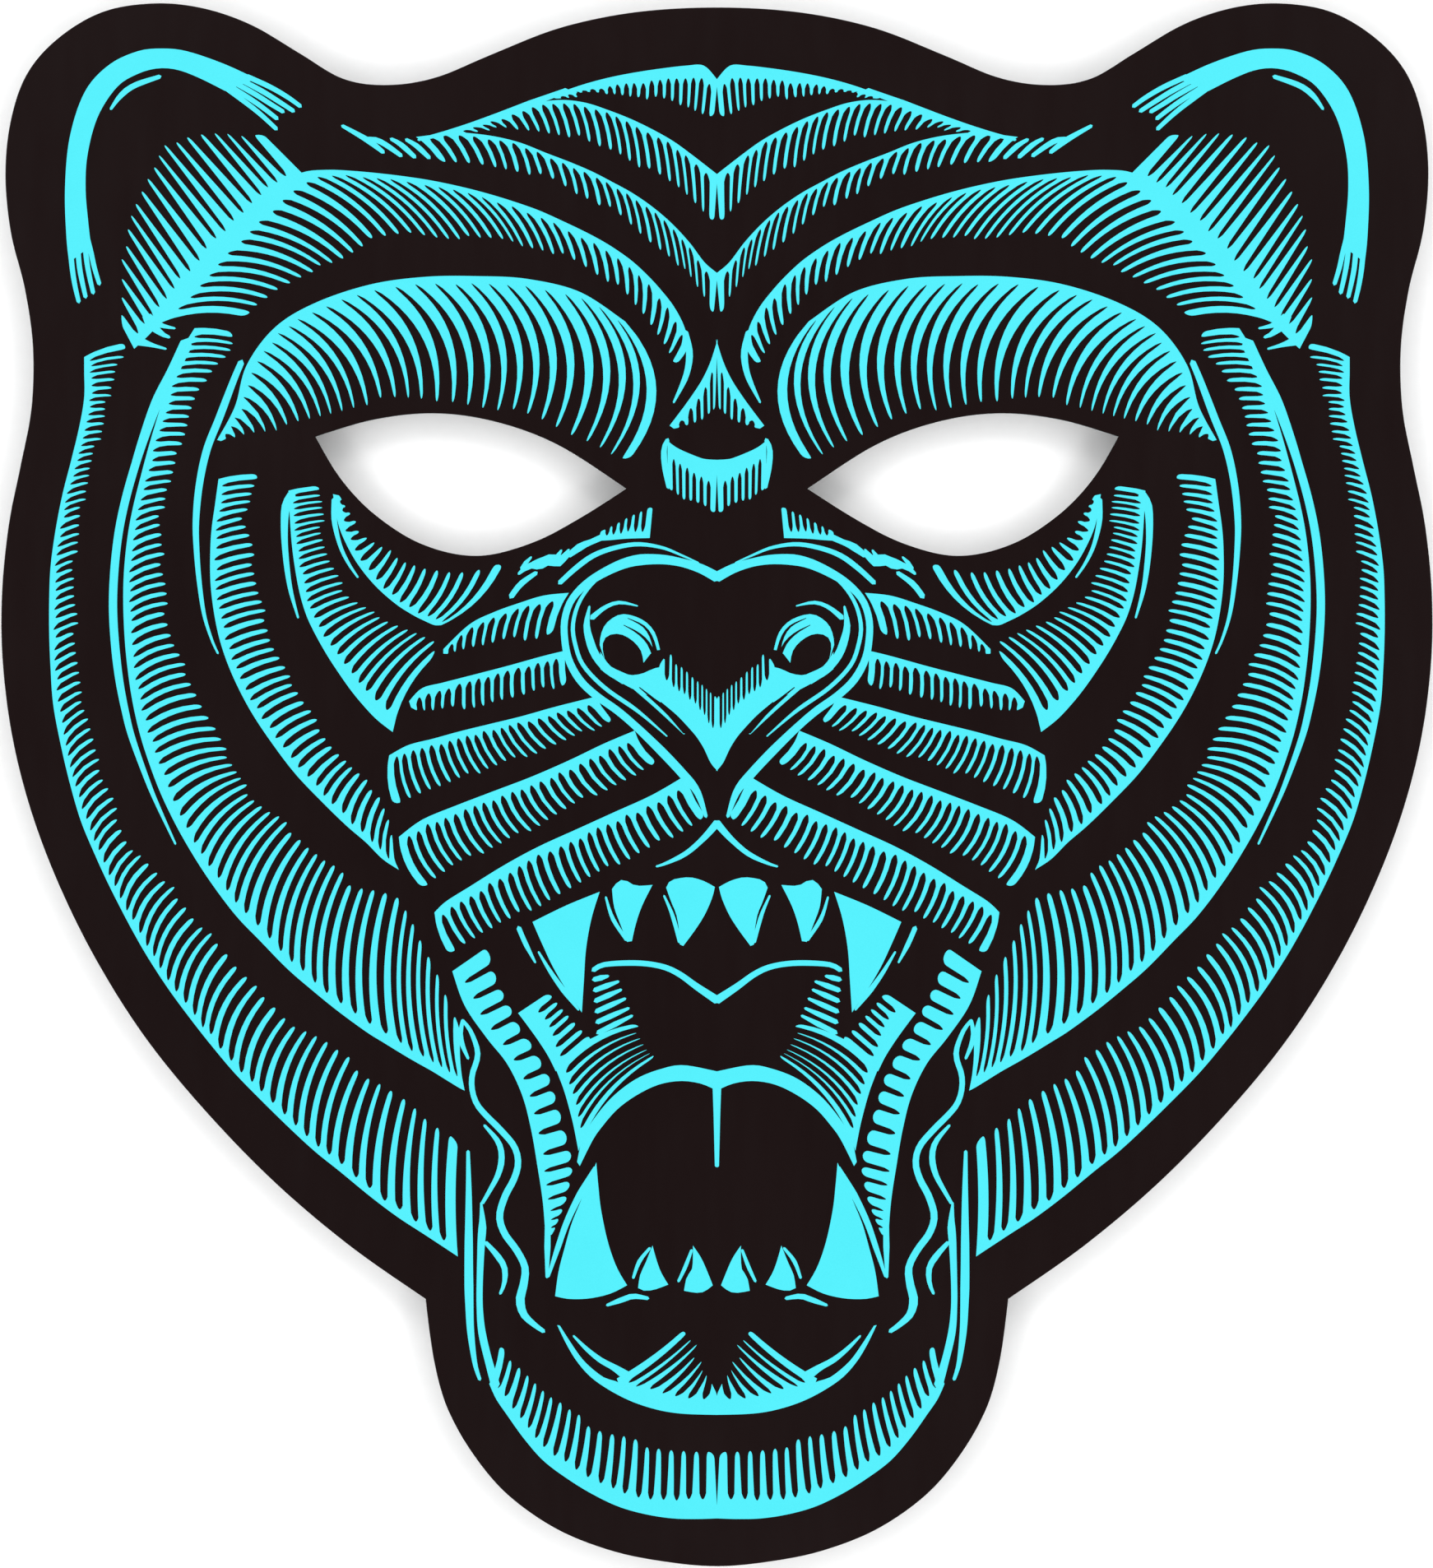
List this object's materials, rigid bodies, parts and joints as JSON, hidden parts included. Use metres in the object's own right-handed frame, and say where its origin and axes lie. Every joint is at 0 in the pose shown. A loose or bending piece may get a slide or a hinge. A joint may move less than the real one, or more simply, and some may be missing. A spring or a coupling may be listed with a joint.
{
  "type": "light-up tiger mask",
  "caption": "Flat light-up face mask cut to a roaring tiger's head, with glowing hatched stripes on black and two eye openings.",
  "frame": {"origin": "on the back, under the middle of the mask's bounding box", "axes": "+Z out of the lit face, +Y towards the ears, +X to the right of someone who looks at the face; the mask lies on its back on z = 0"},
  "size_m": [0.2088, 0.228, 0.005],
  "materials": {
    "black_foam": "closed-cell foam, matt",
    "lit_phosphor": "glowing cyan phosphor",
    "black_film": "satin",
    "hook_tape": "nylon hooks",
    "socket_plastic": "natural nylon"
  },
  "bodies": {
    "root": {"foam_backing": "black_foam", "lamp_sheet": "lit_phosphor", "face_film": "black_film", "strap_patch_right": "hook_tape", "strap_patch_left": "hook_tape", "lead_socket": "socket_plastic"}
  },
  "joints": []
}
